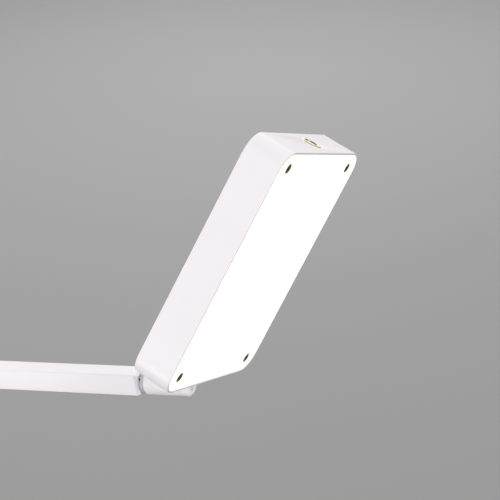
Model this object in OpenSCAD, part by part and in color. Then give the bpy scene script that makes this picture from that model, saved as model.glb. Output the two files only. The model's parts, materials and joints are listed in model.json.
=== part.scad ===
/* [Pose at rest] */
// Lean of the lower arm from upright, towards the back of the lamp
lower_arm_lean = 25; // [0:1:50]
// Rise of the upper arm above level
upper_arm_rise = 8; // [-10:1:40]
// Turn of the head about the upper arm
head_swivel = 18; // [-60:1:60]
// Tilt of the head away from the line of the upper arm
head_tilt = 60; // [0:1:88]

/* [Head] */
// Length of the head
head_l = 146; // [110:1:200]
// Width of the head
head_w = 115.5; // [80:0.5:160]
// Thickness of the head
head_t = 22.4; // [20:0.2:32]
// Corner radius of the head
head_r = 12; // [6:0.5:25]
// Rounding of the head's back edges
head_edge_r = 0.6; // [0.4:0.1:3]
// Wall of the head housing
head_wall = 2; // [1.6:0.1:3]
// Width of the thin rim round the diffuser
rim_w = 0.5; // [0.4:0.1:1.4]
// Thickness of the diffuser plate
diffuser_t = 2; // [1.5:0.1:3]
// Distance of the face screws from the head's short ends
face_screw_end = 9.5; // [8:0.5:20]
// Distance of the face screws from the head's long sides
face_screw_side = 12.7; // [8:0.1:25]
// Diameter of a face screw's head
face_screw_head_d = 5.6; // [4.5:0.1:7]
// Diameter of a face screw's shank
face_screw_d = 3; // [2.5:0.1:3.5]
// How far the face screws sit below the diffuser
face_screw_sink = 0.5; // [0.2:0.1:0.8]

/* [Light source] */
// Distance of the light board from the head's short ends
board_end = 17; // [16:0.5:40]
// Distance of the light board from the head's long sides
board_side = 16.75; // [14:0.25:35]
// Thickness of the light board
board_t = 1.6; // [1:0.1:2.4]
// Rows of light packages along the head
led_rows = 7; // [3:1:10]
// Columns of light packages across the head
led_cols = 5; // [2:1:8]
// Side of one light package
led_side = 3.5; // [2:0.1:5]
// Height of one light package
led_h = 0.8; // [0.5:0.1:1.2]
// Length of the driver board
driver_l = 50; // [30:1:70]
// Width of the driver board
driver_w = 30; // [20:1:50]
// Distance of the driver board from the button's end of the head
driver_end = 19; // [18:1:60]

/* [Button] */
// Diameter of the button's ring
bezel_d = 12; // [10:0.1:16]
// Thickness of the button ring's flange
bezel_t = 0.9; // [0.6:0.1:1.2]
// Diameter of the button ring's sleeve
sleeve_d = 9.8; // [8.8:0.1:9.9]
// Diameter of the button cap
button_d = 8.2; // [7:0.1:8.3]
// Travel of the button
button_travel = 0.8; // [0.4:0.1:1]

/* [Tilt hinge] */
// Gap between the end of the head and the barrel's corner as the head tilts
head_gap = 0.1; // [0.1:0.05:3]
// Diameter of the tilt pin
tilt_pin_d = 3; // [2.5:0.1:4]
// Thickness of the hinge tongue
tongue_t = 2.4; // [2:0.1:4]
// Radius of the round end of the hinge tongue
tongue_r = 3.8; // [3:0.1:4]
// Thickness of a friction washer in the fork
fork_washer_t = 0.3; // [0.3:0.1:0.8]

/* [Swivel barrel] */
// Diameter of the swivel barrel
barrel_d = 14.5; // [13:0.5:16]
// Length of the barrel from the tilt pin to the arm
barrel_back = 22.7; // [18:0.1:32]
// Length of the barrel from the tilt pin to its free end
barrel_front = 4.4; // [3.8:0.1:5]
// Chamfer of the barrel's free end
barrel_chamfer = 1.2; // [0.4:0.1:1.6]
// Diameter of the hollow swivel stud
stud_d = 5; // [4:0.1:6]
// Bore of the hollow swivel stud
stud_bore_d = 2.6; // [2:0.1:3]
// Thickness of the collar between barrel and arm
collar_t = 0.8; // [0.6:0.1:3]
// Thickness of the dark washer between barrel and collar
barrel_washer_t = 1; // [0.3:0.1:1.5]
// Thickness of the dark washer between collar and arm
arm_washer_t = 1.4; // [0.4:0.1:2]
// How far the dark washers lie inside the barrel's outline
washer_inset = 0.5; // [0.2:0.1:1.5]

/* [Arms] */
// Side of the square arm tubes
tube_side = 13; // [11:0.5:16]
// Wall of the arm tubes
tube_wall = 1; // [0.8:0.1:1.5]
// Corner radius of the arm tubes
tube_r = 1.1; // [0.8:0.1:1.4]
// Upper arm from elbow to tilt pin
upper_arm_l = 300; // [200:5:400]
// Lower arm from base hinge to elbow
lower_arm_l = 300; // [200:5:400]
// Length of the bevel on the arm's end plug
bevel_l = 2.6; // [1:0.1:4]
// Depth of the bevel on the arm's end plug
bevel_d = 1.1; // [0.3:0.1:1.5]
// Length of a plug inside its tube
spigot_l = 16; // [10:1:25]
// Outer diameter of the lead in the arms
lead_d = 2.2; // [1.6:0.1:2.4]

/* [Elbow and base hinge] */
// Radius of the round eyes on the arm ends
eye_r = 8; // [7:0.1:10]
// Distance from an eye's axis to the end of its tube
eye_neck = 12; // [10:0.5:18]
// Diameter of the elbow bolt and of the base hinge pin
bolt_d = 5; // [4:0.1:6]
// Thickness of the friction washer between the arms
elbow_washer_t = 1; // [0.6:0.1:2]
// Diameter of the screw caps at the elbow and the base hinge
cap_d = 11; // [9:0.5:13]
// Height of those caps
cap_h = 3; // [2:0.1:5]

/* [Base] */
// Diameter of the base
base_d = 200; // [150:5:260]
// Height of the base without its pad
base_h = 14; // [13:0.5:24]
// Thickness of the weight in the base
weight_h = 9; // [5:0.5:9.5]
// Wall of the base cover
base_wall = 2; // [1.5:0.1:3]
// Rounding of the base cover's upper edge
base_edge_r = 3; // [2:0.5:6]
// Thickness of the rubber pad
pad_t = 2; // [1:0.5:4]
// Thickness of the steel floor plate
floor_t = 1.5; // [1:0.1:3]
// Diameter of the turret
turret_d = 30; // [28:1:40]
// Height of the base hinge above the base cover
hinge_rise = 22; // [20:1:30]
// Thickness of a turret cheek
cheek_t = 4.5; // [3.5:0.1:6]
// Diameter of the turret's spindle
spindle_d = 10; // [8:0.5:14]
// Bore of the power inlet
inlet_d = 5.6; // [5:0.1:6.5]

/* [Clearances] */
// Gap between flat faces that turn on each other
slip_gap = 0.05; // [0.02:0.01:0.1]
// Radial gap of a pin in a turning bore
run_gap = 0.05; // [0.02:0.01:0.1]
// Radial gap of a part that sits in a pocket
seat_gap = 0.2; // [0.1:0.05:0.3]

/* [Hidden] */
$fn = 96;
eps = 0.5;

// Names of the sub-parts

// Radial gap of a screw in the thread that holds it
thread_gap = 0.02;
// Radial gap of a pin or stud in a bore that holds it
hold_gap = 0.01;

// Heights in the base, from the table up
base_top = pad_t + base_h;
hinge_z = base_top + hinge_rise;
floor_top = pad_t + floor_t;

// The lower arm's and the upper arm's planes
arm_pitch = tube_side + elbow_washer_t + 2 * slip_gap;

// Head along its own x, seen from the tilt pin
head_x0 = norm([barrel_front - barrel_chamfer, barrel_d / 2]) + head_gap;
head_x1 = head_x0 + head_l;
front_z = -head_t / 2;
back_z = head_t / 2;
screw_xs = [head_x0 + face_screw_end, head_x1 - face_screw_end];
screw_y = head_w / 2 - face_screw_side;
plate_back_z = front_z + diffuser_t;
boss_r = face_screw_head_d / 2 + 1.2;
board_x = (head_x0 + head_x1) / 2;
board_l = head_l - 2 * board_end;
board_w = head_w - 2 * board_side;
board_z = plate_back_z + 9;
post_r = 2.4;
post_inset = 5;
post_hole_r = 1.1;
board_screw_head_r = 2;
board_screw_head_h = 1.2;
led_inset = 11;
driver_x = head_x1 - driver_end - driver_l / 2;
driver_z = back_z - head_wall - slip_gap;
driver_t = 1.2;
coil_side = 9;
coil_h = 2.4;
chip_side = 5;
chip_h = 1.6;
can_r = 3;
can_h = 2.2;
foot_x0 = head_x0 + head_wall + slip_gap;
foot_x1 = foot_x0 + 3;
foot_y = 13;
foot_z = 6;
tongue_screw_y = 9;
tongue_screw_r = 1.25;
button_x1 = head_x1 - 0.1;
bezel_x0 = head_x1 - 8;

// Tilt fork in the barrel
slot_w = tongue_t + 2 * fork_washer_t + 4 * slip_gap;
slot_floor = -(tongue_r + 0.4);
slot_back = -(tongue_r + 1);
barrel_r = barrel_d / 2;

// Swivel stack between the barrel and the arm, seen from the tilt pin
collar_x1 = -barrel_back - barrel_washer_t - 2 * slip_gap;
collar_x0 = collar_x1 - collar_t;
tip_x = collar_x0 - arm_washer_t - 2 * slip_gap;
tube_x1 = tip_x - bevel_l;
spigot_side = tube_side - 2 * tube_wall - 0.1;
nut_t = 3;
spring_t = 1;
nut_seat_x = tube_x1 - spigot_l;
stud_x0 = nut_seat_x - spring_t - nut_t - 1;
stud_x1 = -12;

// Grub screws of the plugs and hexagon sockets of the caps
grub_r = 1.25;
cap_chamfer = 0.8;
hex_r = 1.9;
hex_depth = 1.4;
// How far a bolt enters its cap nut
cap_grip = 1;

// Base parts
cover_in_r = base_d / 2 - base_wall;
cover_in_z = base_top - base_wall;
weight_r = cover_in_r - 2;
pad_inset = 1;
weight_z0 = floor_top + slip_gap;
weight_z1 = weight_z0 + weight_h;
turret_r = turret_d / 2;
turret_top = hinge_z - eye_r - 2;
turret_washer_t = 1.2;
turret_nut_t = 4;
spindle_z0 = cover_in_z - turret_washer_t - turret_nut_t - 1;
spindle_hole_r = spindle_d / 2 + run_gap;
well_r = spindle_d / 2 + 8;
fork_w = tube_side + 2 * fork_washer_t + 4 * slip_gap;
cheek_y0 = fork_w / 2;
cheek_y1 = fork_w / 2 + cheek_t;
inlet_side = 9;
inlet_z = floor_top + inlet_side / 2 + slip_gap;
inlet_x0 = -(base_d / 2 - 0.3);
inlet_x1 = inlet_x0 + 15;
inlet_nose_r = 3.9;
inlet_nose_l = 6;
inlet_depth = 10;
inlet_pin_r = 0.65;
screw_ring_r = base_d / 2 - 22;
cover_post_r = 4;
floor_screw_r = 1.5;
weight_ring_r = base_d / 4;

// Places and turns of the moving groups
module at_base_hinge() translate([0, 0, hinge_z]) children();
module in_lower_arm() at_base_hinge() rotate([0, -(90 + lower_arm_lean), 0]) children();
module at_elbow() in_lower_arm() translate([lower_arm_l, 0, 0]) children();
module in_upper_arm()
    translate([-lower_arm_l * sin(lower_arm_lean), arm_pitch,
        hinge_z + lower_arm_l * cos(lower_arm_lean)])
        rotate([0, -upper_arm_rise, 0]) children();
module at_arm_tip() in_upper_arm() translate([upper_arm_l, 0, 0]) children();
module in_barrel() at_arm_tip() rotate([-head_swivel, 0, 0]) children();
module in_head() in_barrel() rotate([0, -head_tilt, 0]) children();

// A round bar along x, y or z from a to b
module bar_x(r, a, b) translate([a, 0, 0]) rotate([0, 90, 0]) cylinder(r = r, h = b - a);
module bar_y(r, a, b) translate([0, a, 0]) rotate([-90, 0, 0]) cylinder(r = r, h = b - a);
module bar_z(r, a, b) translate([0, 0, a]) cylinder(r = r, h = b - a);

// A flat ring along x, y or z
module ring_x(ro, ri, a, b) difference() {
    bar_x(ro, a, b);
    bar_x(ri, a - eps, b + eps);
}
module ring_y(ro, ri, a, b) difference() {
    bar_y(ro, a, b);
    bar_y(ri, a - eps, b + eps);
}
module ring_z(ro, ri, a, b) difference() {
    bar_z(ro, a, b);
    bar_z(ri, a - eps, b + eps);
}

// A box from one corner to the other
module box(low, high) translate(low) cube(high - low);

// A rectangle with round corners, centred
module round_rect(l, w, r) {
    square([l - 2 * r, w], center = true);
    square([l, w - 2 * r], center = true);
    for (x = [-1, 1], y = [-1, 1])
        translate([x * (l / 2 - r), y * (w / 2 - r)]) circle(r = r);
}

// A slab with round corners, standing on z = 0, whose upper edge is rounded
module soft_slab(l, w, r, h, edge) {
    linear_extrude(h - edge) round_rect(l, w, r);
    linear_extrude(h) round_rect(l - 2 * edge, w - 2 * edge, r - edge);
    for (s = [-1, 1]) {
        translate([-(l / 2 - r), s * (w / 2 - edge), h - edge])
            rotate([0, 90, 0]) cylinder(r = edge, h = l - 2 * r, $fn = 48);
        translate([s * (l / 2 - edge), -(w / 2 - r), h - edge])
            rotate([-90, 0, 0]) cylinder(r = edge, h = w - 2 * r, $fn = 48);
    }
    for (x = [-1, 1], y = [-1, 1])
        translate([x * (l / 2 - r), y * (w / 2 - r), h - edge])
            rotate_extrude() translate([r - edge, 0]) intersection() {
                circle(r = edge, $fn = 48);
                translate([-(r - edge), -edge]) square([r, 2 * edge]);
            }
}

// Puts children at the middle of the head, on its front face
module on_head_front() translate([board_x, 0, front_z]) children();

// Puts children at each face screw
module at_face_screws() for (x = screw_xs, s = [-1, 1]) translate([x, s * screw_y, 0]) children();

// Puts children at each post of the light board
module at_posts() for (x = [-1, 1], y = [-1, 1])
    translate([board_x + x * (board_l / 2 - post_inset), y * (board_w / 2 - post_inset), 0])
        children();

// Housing of the head: a tray with a thin rim, bosses, posts and the button's hole
module head_housing() color("white") in_head() difference() {
    union() {
        difference() {
            on_head_front() soft_slab(head_l, head_w, head_r, head_t, head_edge_r);
            on_head_front() translate([0, 0, -eps])
                linear_extrude(diffuser_t + eps)
                    round_rect(head_l - 2 * rim_w, head_w - 2 * rim_w, head_r - rim_w);
            on_head_front() translate([0, 0, diffuser_t - eps])
                linear_extrude(head_t - diffuser_t - head_wall + eps)
                    round_rect(head_l - 2 * head_wall, head_w - 2 * head_wall, head_r - head_wall);
        }
        at_face_screws() bar_z(boss_r, plate_back_z, back_z - head_wall / 2);
        at_posts() bar_z(post_r, board_z + board_t, back_z - head_wall / 2);
    }
    at_face_screws() bar_z(face_screw_d / 2, plate_back_z - eps, back_z - head_wall - 1);
    at_posts() bar_z(post_hole_r, board_z, back_z - head_wall);
    bar_x(sleeve_d / 2 + run_gap, head_x1 - head_wall - eps, head_x1 + eps);
    bar_x(bezel_d / 2 + run_gap, head_x1 - bezel_t + 0.1, head_x1 + eps);
    box([head_x0 - eps, -tongue_t / 2 - run_gap, -tongue_r - run_gap],
        [head_x0 + head_wall + eps, tongue_t / 2 + run_gap, tongue_r + run_gap]);
    for (s = [-1, 1]) translate([0, s * tongue_screw_y, 0])
        bar_x(tongue_screw_r, head_x0 + 0.8, head_x0 + head_wall + eps);
}

// Opal plate that closes the head's front
module diffuser_plate() color("ivory") in_head() difference() {
    on_head_front() linear_extrude(diffuser_t - slip_gap)
        round_rect(head_l - 2 * rim_w - 2 * seat_gap, head_w - 2 * rim_w - 2 * seat_gap,
            head_r - rim_w - seat_gap);
    at_face_screws() {
        bar_z(face_screw_d / 2 + run_gap, front_z - eps, plate_back_z + eps);
        bar_z(face_screw_head_d / 2 + run_gap, front_z - eps, front_z + face_screw_sink + 0.8);
    }
}

// Countersunk screws at the corners of the face
module diffuser_screws() color("darkgoldenrod") in_head() at_face_screws() difference() {
    union() {
        bar_z(face_screw_head_d / 2, front_z + face_screw_sink, front_z + face_screw_sink + 0.75);
        bar_z(face_screw_d / 2 - thread_gap, front_z + face_screw_sink, plate_back_z + 7);
    }
    bar_z(1, front_z, front_z + face_screw_sink + 0.6, $fn = 6);
}

// Aluminium board that carries the light packages
module light_board() color("gainsboro") in_head() difference() {
    translate([board_x, 0, board_z]) linear_extrude(board_t - slip_gap) round_rect(board_l, board_w, 3);
    at_posts() bar_z(post_hole_r, board_z - eps, board_z + board_t + eps);
}

// Screws that hold the board to the housing's posts
module board_screws() color("silver") in_head() at_posts() difference() {
    union() {
        bar_z(post_hole_r - thread_gap, board_z - board_screw_head_h / 2, back_z - head_wall - 1);
        bar_z(board_screw_head_r, board_z - board_screw_head_h, board_z - slip_gap);
    }
    bar_z(0.6, board_z - board_screw_head_h - eps, board_z - 0.5, $fn = 6);
}

// Light packages on the front of the board
module light_packages() color("lemonchiffon") in_head()
    for (i = [0:led_rows - 1], j = [0:led_cols - 1])
        translate([board_x + (i - (led_rows - 1) / 2) * (board_l - 2 * led_inset) / (led_rows - 1),
            (j - (led_cols - 1) / 2) * (board_w - 2 * led_inset) / (led_cols - 1),
            board_z - led_h / 2 - slip_gap])
            cube([led_side, led_side, led_h], center = true);

// Driver board on the housing's back wall, with its coil, chip and capacitor
module driver_board() color("darkgreen") in_head() translate([driver_x, 0, driver_z]) {
    translate([0, 0, -driver_t / 2]) cube([driver_l, driver_w, driver_t], center = true);
    translate([-driver_l / 4, 0, -driver_t - coil_h / 2 + 0.1])
        cube([coil_side, coil_side, coil_h], center = true);
    translate([driver_l / 12, -driver_w / 4, -driver_t - chip_h / 2 + 0.1])
        cube([1.2 * chip_side, chip_side, chip_h], center = true);
    translate([driver_l / 4, driver_w / 5, 0]) bar_z(can_r, -driver_t - can_h, -driver_t + 0.1);
}

// Lead along the back wall, from the driver board to the hinge
module head_lead() color("dimgray") in_head()
    translate([0, 0, driver_z - lead_d / 2])
        bar_x(lead_d / 2, foot_x1 + 2, driver_x - driver_l / 2 - slip_gap);

// Threaded brass ring of the button, with its sleeve
module button_bezel() color("gold") in_head() difference() {
    union() {
        bar_x(bezel_d / 2, head_x1 - bezel_t + 0.1, head_x1 + 0.1);
        bar_x(sleeve_d / 2, bezel_x0, head_x1);
    }
    bar_x(button_d / 2 + 0.3, bezel_x0 - eps, head_x1 + eps);
}

// Ring nut that holds the button from inside
module button_nut() color("gold") in_head()
    ring_x(sleeve_d / 2 + 1.6, sleeve_d / 2 + run_gap,
        head_x1 - head_wall - 2 - slip_gap, head_x1 - head_wall - slip_gap);

// Button cap with its stem
module button_cap() color("palegoldenrod") in_head() {
    bar_x(button_d / 2, bezel_x0 + 1.5, button_x1);
    bar_x(1.2, bezel_x0 - 1.2, bezel_x0 + 1.5);
}

// Switch behind the button: a block with a hole for the stem
module button_switch() color("dimgray") in_head() difference() {
    box([bezel_x0 - 6, -5, -5], [bezel_x0 - slip_gap, 5, 5]);
    bar_x(1.45, bezel_x0 - 3, bezel_x0 + eps);
}

// Lug that carries the head, with its foot inside the housing
module hinge_tongue() color("whitesmoke") in_head() difference() {
    union() {
        bar_y(tongue_r, -tongue_t / 2, tongue_t / 2);
        box([0, -tongue_t / 2, -tongue_r], [foot_x0 + 1, tongue_t / 2, tongue_r]);
        box([foot_x0, -foot_y, -foot_z], [foot_x1, foot_y, foot_z]);
    }
    bar_y(tilt_pin_d / 2 + run_gap, -tongue_t, tongue_t);
    for (s = [-1, 1]) translate([0, s * tongue_screw_y, 0])
        bar_x(tongue_screw_r + run_gap, foot_x0 - eps, foot_x1 + eps);
}

// Screws that hold the lug's foot to the end wall
module tongue_screws() color("silver") in_head() for (s = [-1, 1])
    translate([0, s * tongue_screw_y, 0]) difference() {
        union() {
            bar_x(tongue_screw_r - thread_gap, head_x0 + 1, foot_x1 + 0.5);
            bar_x(2.2, foot_x1 + slip_gap, foot_x1 + 1.6);
        }
        bar_x(0.9, foot_x1 + 0.8, foot_x1 + 2, $fn = 6);
    }

// Tilt pin across the barrel's fork
module tilt_pin() color("silver") in_barrel()
    bar_y(tilt_pin_d / 2, -(barrel_r - 0.4), barrel_r - 0.4);

// Friction washers on both sides of the lug
module tilt_washers() color("dimgray") in_barrel() for (s = [-1, 1])
    translate([0, s * (tongue_t / 2 + slip_gap + fork_washer_t / 2), 0])
        ring_y(tongue_r - 0.2, tilt_pin_d / 2 + run_gap, -fork_washer_t / 2, fork_washer_t / 2);

// Barrel that turns about the arm and holds the tilt pin in its fork
module swivel_barrel() color("whitesmoke") in_barrel() difference() {
    union() {
        bar_x(barrel_r, -barrel_back, barrel_front - barrel_chamfer);
        translate([barrel_front - barrel_chamfer, 0, 0]) rotate([0, 90, 0])
            cylinder(r1 = barrel_r, r2 = barrel_r - barrel_chamfer, h = barrel_chamfer);
    }
    box([slot_back, -slot_w / 2, slot_floor], [barrel_front + eps, slot_w / 2, barrel_r + eps]);
    bar_y(tilt_pin_d / 2 + hold_gap, -barrel_d, barrel_d);
    bar_x(stud_d / 2 + hold_gap, -barrel_back - eps, stud_x1);
    bar_x(stud_bore_d / 2, stud_x1 - eps, slot_back + eps);
}

// Hollow stud that joins the barrel to the arm
module swivel_stud() color("silver") in_barrel() ring_x(stud_d / 2, stud_bore_d / 2, stud_x0, stud_x1);

// Dark slip washers on both sides of the collar
module slip_washers() color("black") at_arm_tip() {
    ring_x(barrel_r - washer_inset, stud_d / 2 + run_gap, collar_x1 + slip_gap,
        collar_x1 + slip_gap + barrel_washer_t);
    ring_x(barrel_r - washer_inset, stud_d / 2 + run_gap, tip_x + slip_gap,
        tip_x + slip_gap + arm_washer_t);
}

// Collar between the barrel and the arm
module swivel_collar() color("lightgray") at_arm_tip()
    ring_x(barrel_r - 0.2, stud_d / 2 + run_gap, collar_x0, collar_x1);

// Round nut on the stud, inside the arm
module swivel_nut() color("silver") in_barrel()
    ring_x(spigot_side / 2 - 0.4, stud_d / 2 + hold_gap, nut_seat_x - spring_t - nut_t,
        nut_seat_x - spring_t);

// Spring washer that sets the swivel's friction
module swivel_spring_washer() color("dimgray") in_barrel()
    ring_x(spigot_side / 2 - 0.6, stud_d / 2 + run_gap, nut_seat_x - spring_t + slip_gap,
        nut_seat_x - slip_gap);

// A square bar along x with round corners
module square_bar(side, r, a, b) translate([a, 0, 0]) rotate([0, 90, 0])
    linear_extrude(b - a) round_rect(side, side, r);

// Hole of a grub screw in the underside of an arm
module grub_hole(x) translate([x, 0, 0]) bar_z(grub_r, -tube_side, -tube_side / 2 + 3.2);

// Grub screw in the underside of an arm
module grub(x) translate([x, 0, 0]) difference() {
    bar_z(grub_r - thread_gap, -tube_side / 2 + 0.1, -tube_side / 2 + 3);
    bar_z(0.7, -tube_side / 2, -tube_side / 2 + 1.2, $fn = 6);
}

// Bevelled plug in the upper arm's tip, in which the stud turns
module upper_arm_tip_plug() color("white") at_arm_tip() difference() {
    union() {
        square_bar(tube_side, tube_r, tube_x1, tip_x);
        square_bar(spigot_side, tube_r - tube_wall + 0.1, nut_seat_x, tube_x1 + eps);
    }
    for (a = [0:90:270]) rotate([a, 0, 0]) translate([tube_x1, -tube_side, tube_side / 2])
        rotate([0, atan(bevel_d / bevel_l), 0]) cube([2 * bevel_l, 2 * tube_side, tube_side]);
    bar_x(stud_d / 2 + run_gap, nut_seat_x - eps, tip_x + eps);
    grub_hole(tube_x1 - spigot_l / 2);
}

// An arm tube from a to b, with its grub screw holes
module arm_tube(a, b) difference() {
    square_bar(tube_side, tube_r, a, b);
    square_bar(tube_side - 2 * tube_wall, tube_r - tube_wall + 0.05, a - eps, b + eps);
    grub_hole(a + spigot_l / 2);
    grub_hole(b - spigot_l / 2);
}

// A plug with a round eye on its axis at x = 0, its spigot towards +x
module eye_plug(bore_r) difference() {
    union() {
        bar_y(eye_r, -tube_side / 2, tube_side / 2);
        square_bar(tube_side, tube_r, 0, eye_neck);
        square_bar(spigot_side, tube_r - tube_wall + 0.1, eye_neck - eps, eye_neck + spigot_l);
    }
    bar_y(bore_r, -tube_side, tube_side);
    bar_x(lead_d / 2 + seat_gap, bolt_d / 2 + 1.6, eye_neck + spigot_l + eps);
    grub_hole(eye_neck + spigot_l / 2);
}

// Square tube of the upper arm
module upper_arm_tube() color("white") in_upper_arm() arm_tube(eye_neck, upper_arm_l + tube_x1);

// Eye plug of the upper arm at the elbow
module upper_arm_eye_plug() color("white") in_upper_arm() eye_plug(bolt_d / 2 + run_gap);

// Grub screws of the upper arm's plugs
module upper_plug_screws() color("dimgray") in_upper_arm() {
    grub(eye_neck + spigot_l / 2);
    grub(upper_arm_l + tube_x1 - spigot_l / 2);
}

// Lead inside the upper arm, through the stud
module upper_arm_lead() color("dimgray") in_upper_arm()
    bar_x(lead_d / 2, bolt_d / 2 + 2, upper_arm_l + stud_x1);

// A screw cap at y = a that rises to y = b, with a chamfered rim
module cap_y(a, b) {
    d = b > a ? 1 : -1;
    translate([0, a, 0]) rotate([-90 * d, 0, 0]) difference() {
        union() {
            cylinder(r = cap_d / 2, h = cap_h - cap_chamfer);
            translate([0, 0, cap_h - cap_chamfer])
                cylinder(r1 = cap_d / 2, r2 = cap_d / 2 - cap_chamfer, h = cap_chamfer);
        }
        translate([0, 0, cap_h - hex_depth]) cylinder(r = hex_r, h = hex_depth + eps, $fn = 6);
    }
}

// Elbow bolt with its cap, through both eyes
module elbow_bolt() color("silver") at_elbow() {
    cap_y(-tube_side / 2 - slip_gap, -tube_side);
    bar_y(bolt_d / 2, -tube_side / 2 - slip_gap - 0.1, arm_pitch + tube_side / 2 + slip_gap + cap_grip);
}

// Friction washer between the two eyes of the elbow
module elbow_washer() color("dimgray") at_elbow()
    ring_y(eye_r - 0.5, bolt_d / 2 + run_gap, tube_side / 2 + slip_gap,
        tube_side / 2 + slip_gap + elbow_washer_t);

// Cap nut on the far end of the elbow bolt
module elbow_nut() color("silver") at_elbow() difference() {
    cap_y(arm_pitch + tube_side / 2 + slip_gap, arm_pitch + tube_side);
    bar_y(bolt_d / 2 + hold_gap, arm_pitch, arm_pitch + tube_side / 2 + slip_gap + cap_grip + seat_gap);
}

// Eye plug of the lower arm at the elbow
module lower_arm_eye_plug() color("white") at_elbow() rotate([0, 180, 0]) mirror([0, 0, 1])
    eye_plug(bolt_d / 2 + hold_gap);

// Square tube of the lower arm
module lower_arm_tube() color("white") in_lower_arm() arm_tube(eye_neck, lower_arm_l - eye_neck);

// Eye plug of the lower arm at the base hinge
module lower_arm_foot_plug() color("white") in_lower_arm() eye_plug(bolt_d / 2 + run_gap);

// Grub screws of the lower arm's plugs
module lower_plug_screws() color("dimgray") in_lower_arm() {
    grub(eye_neck + spigot_l / 2);
    grub(lower_arm_l - eye_neck - spigot_l / 2);
}

// Lead inside the lower arm
module lower_arm_lead() color("dimgray") in_lower_arm()
    bar_x(lead_d / 2, bolt_d / 2 + 2, lower_arm_l - bolt_d / 2 - 2);

// Turret: a round foot with two cheeks and a hollow spindle
module turret() color("white") difference() {
    union() {
        bar_z(turret_r, base_top + slip_gap, turret_top);
        bar_z(spindle_d / 2, spindle_z0, base_top + 1);
        for (s = [-1, 1]) translate([0, s * (cheek_y0 + cheek_y1) / 2, 0]) {
            translate([0, 0, hinge_z]) bar_y(eye_r, -cheek_t / 2, cheek_t / 2);
            box([-eye_r, -cheek_t / 2, turret_top - eps], [eye_r, cheek_t / 2, hinge_z]);
        }
    }
    at_base_hinge() bar_y(bolt_d / 2 + hold_gap, -turret_d, turret_d);
    bar_z(lead_d / 2 + seat_gap, spindle_z0 - eps, turret_top + eps);
}

// Pin of the base hinge with its cap
module base_hinge_pin() color("silver") at_base_hinge() {
    cap_y(-cheek_y1 - slip_gap, -turret_d);
    bar_y(bolt_d / 2, -cheek_y1 - slip_gap - 0.1, cheek_y1 + slip_gap + cap_grip);
}

// Friction washers on both sides of the lower arm's foot
module base_hinge_washers() color("dimgray") at_base_hinge() for (s = [-1, 1])
    translate([0, s * (tube_side / 2 + slip_gap + fork_washer_t / 2), 0])
        ring_y(eye_r - 0.5, bolt_d / 2 + run_gap, -fork_washer_t / 2, fork_washer_t / 2);

// Cap nut on the far end of the base hinge pin
module base_hinge_cap() color("silver") at_base_hinge() difference() {
    cap_y(cheek_y1 + slip_gap, turret_d);
    bar_y(bolt_d / 2 + hold_gap, 0, cheek_y1 + slip_gap + cap_grip + seat_gap);
}

// Washer and nut that hold the turret down, under the cover's top
module turret_washer() color("silver")
    ring_z(spindle_d / 2 + 6, spindle_hole_r, cover_in_z - slip_gap - turret_washer_t,
        cover_in_z - slip_gap);
module turret_nut() color("silver")
    ring_z(spindle_d / 2 + 4, spindle_d / 2 + hold_gap,
        cover_in_z - slip_gap - turret_washer_t - turret_nut_t,
        cover_in_z - slip_gap - turret_washer_t - slip_gap);

// Lead up through the spindle
module turret_lead() color("dimgray") bar_z(lead_d / 2, spindle_z0 - 1, turret_top);

// Puts children at each screw of the cover
module at_cover_posts() for (a = [45:90:315]) rotate([0, 0, a]) translate([screw_ring_r, 0, 0]) children();

// Puts children at each screw of the weight
module at_weight_screws() for (a = [0:120:240]) rotate([0, 0, a])
    translate([weight_ring_r, 0, 0]) children();

// Spun cover of the base, with its screw posts
module base_cover() color("white") difference() {
    union() {
        rotate_extrude($fn = 180) translate([0, pad_t]) difference() {
            union() {
                square([base_d / 2, base_h - base_edge_r]);
                square([base_d / 2 - base_edge_r, base_h]);
                translate([base_d / 2 - base_edge_r, base_h - base_edge_r])
                    circle(r = base_edge_r, $fn = 48);
            }
            translate([-eps, -eps]) square([cover_in_r - base_edge_r + base_wall + eps,
                base_h - base_wall + eps]);
            translate([-eps, -eps]) square([cover_in_r + eps, base_h - base_edge_r + eps]);
        }
        at_cover_posts() bar_z(cover_post_r, floor_top + slip_gap, base_top - base_wall / 2);
    }
    bar_z(spindle_hole_r, 0, base_top + eps);
    at_cover_posts() bar_z(floor_screw_r, 0, cover_in_z - 1);
    translate([0, 0, inlet_z]) bar_x(inlet_nose_r + run_gap, -base_d, -base_d / 2 + 2 * base_wall + 2);
}

// Cast iron disc that steadies the lamp
module base_weight() color("gray") difference() {
    bar_z(weight_r, weight_z0, weight_z1, $fn = 180);
    bar_z(well_r, 0, base_top);
    at_cover_posts() bar_z(cover_post_r + 1, 0, base_top);
    at_weight_screws() bar_z(floor_screw_r, 0, weight_z0 + weight_h * 0.7);
    box([-base_d, -inlet_side / 2 - 3, 0], [inlet_x1 + 6, inlet_side / 2 + 3, base_top]);
}

// Screws from below into the weight
module weight_screws() color("silver") at_weight_screws() flat_screw(weight_z0 + weight_h * 0.6);

// A countersunk screw in the floor plate, up to z = top
module flat_screw(top) difference() {
    union() {
        bar_z(floor_screw_r - thread_gap, pad_t + 0.1, top);
        translate([0, 0, pad_t + 0.1]) cylinder(r1 = 2.9, r2 = floor_screw_r, h = 1.2);
    }
    bar_z(0.9, pad_t, pad_t + 0.9, $fn = 6);
}

// Steel plate that closes the base from below
module floor_plate() color("silver") difference() {
    bar_z(cover_in_r - seat_gap, pad_t, floor_top, $fn = 180);
    at_cover_posts() flat_screw_hole();
    at_weight_screws() flat_screw_hole();
}

// Countersunk hole in the floor plate
module flat_screw_hole() {
    bar_z(floor_screw_r + run_gap, 0, base_top);
    translate([0, 0, pad_t - 0.01]) cylinder(r1 = 3.1, r2 = floor_screw_r + run_gap, h = 1.4);
}

// Screws from below into the cover's posts
module floor_screws() color("silver") at_cover_posts() flat_screw(cover_in_z - 3);

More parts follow.
